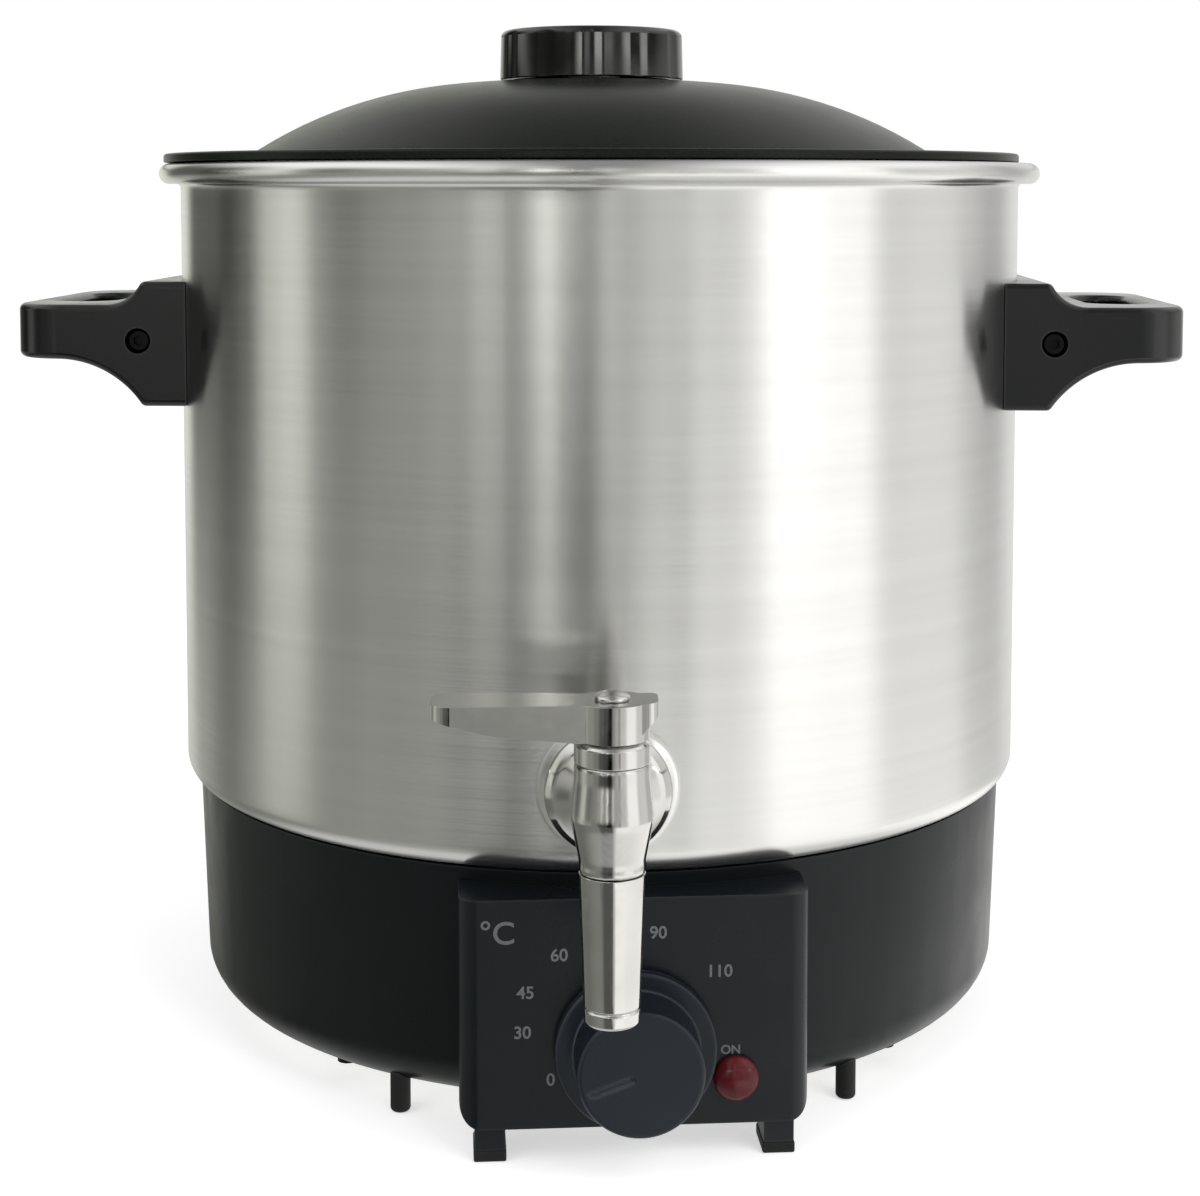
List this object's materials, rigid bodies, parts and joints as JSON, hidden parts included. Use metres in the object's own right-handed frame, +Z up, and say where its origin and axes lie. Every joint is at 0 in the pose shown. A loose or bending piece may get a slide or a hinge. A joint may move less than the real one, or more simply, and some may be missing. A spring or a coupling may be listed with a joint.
{
  "type": "candle wax melter",
  "caption": "Electric wax melting pot: brushed steel tank with lift-off domed lid, side handles, lever tap with spout, and a heated base with dial and lamp.",
  "frame": {"origin": "on the floor, under the middle of the bounding box", "axes": "+Z up; the tap and the control box are on the -Y side; the handles are near +X and -X"},
  "size_m": [0.3556, 0.3222, 0.304],
  "materials": {
    "steel_satin": "satin brushed stainless steel, brushed round the pot",
    "lid_paint": "satin black stove enamel",
    "knob_bakelite": "glossy black bakelite",
    "handle_plastic": "black heat-proof plastic, fine grain",
    "base_plastic": "black plastic, fine grain",
    "panel_plastic": "black plastic, slightly blue, satin",
    "dial_plastic": "dark satin plastic",
    "red_lens": "dark red clear plastic",
    "foot_rubber": "black rubber",
    "seal_silicone": "grey silicone",
    "chrome_tap": "bright chrome plate",
    "heater_aluminium": "cast, as machined",
    "element_steel": "dull heating tube",
    "plated_steel": "zinc plated",
    "copper": "bare copper",
    "brass": "turned brass",
    "ceramic": "glazed ceramic",
    "inner_plastic": "brown moulding compound",
    "cover_steel": "galvanised sheet"
  },
  "bodies": {
    "melter": {"pot": "steel_satin", "handle_right": "handle_plastic", "handle_left": "handle_plastic", "handle_brackets": "plated_steel", "handle_screws": "plated_steel", "base_shell": "base_plastic", "base_seal_ring": "seal_silicone", "bottom_cover": "cover_steel", "bottom_cover_screws": "plated_steel", "control_box": "panel_plastic", "front_foot_pads": "foot_rubber", "peg_feet": "foot_rubber", "thermostat_body": "inner_plastic", "thermostat_screws": "plated_steel", "indicator_lens": "red_lens", "indicator_lamp": "ceramic", "indicator_push_nut": "plated_steel", "heating_plate": "heater_aluminium", "heating_element": "element_steel", "element_bridge": "plated_steel", "centre_stud": "plated_steel", "stud_nuts": "plated_steel", "earth_tag": "brass", "thermal_cutout": "ceramic", "thermostat_bulb": "copper", "capillary_tube": "copper", "terminal_block": "ceramic", "cord_gland": "base_plastic", "gland_nut": "inner_plastic", "tap_body": "chrome_tap", "tap_outer_gasket": "seal_silicone", "tap_inner_gasket": "seal_silicone", "tap_lock_nut": "plated_steel", "tap_bonnet": "chrome_tap", "tap_stem_seal": "seal_silicone", "tap_spout": "chrome_tap"},
    "lid": {"lid_shell": "lid_paint", "lid_knob": "knob_bakelite", "lid_knob_insert": "brass", "lid_knob_washer": "plated_steel", "lid_knob_screw": "plated_steel"},
    "dial": {"dial_knob": "dial_plastic", "thermostat_shaft": "plated_steel"},
    "lever": {"tap_plug": "brass", "tap_lever": "chrome_tap", "tap_lever_cap": "chrome_tap"}
  },
  "joints": [
    {"name": "lid_lift", "type": "slide", "parent": "melter", "child": "lid", "axis": [0, 0, 1], "range_m": [0, 0.15]},
    {"name": "dial_turn", "type": "hinge", "parent": "melter", "child": "dial", "pos_m": [0.00707, -0.11041, 0.03], "axis": [-0.0523, 0.9986, 0], "range_deg": [0, 156]},
    {"name": "tap_lever_turn", "type": "hinge", "parent": "melter", "child": "lever", "pos_m": [0, -0.1506, 0.1275], "axis": [0, 0, 1], "range_deg": [0, 90]}
  ]
}
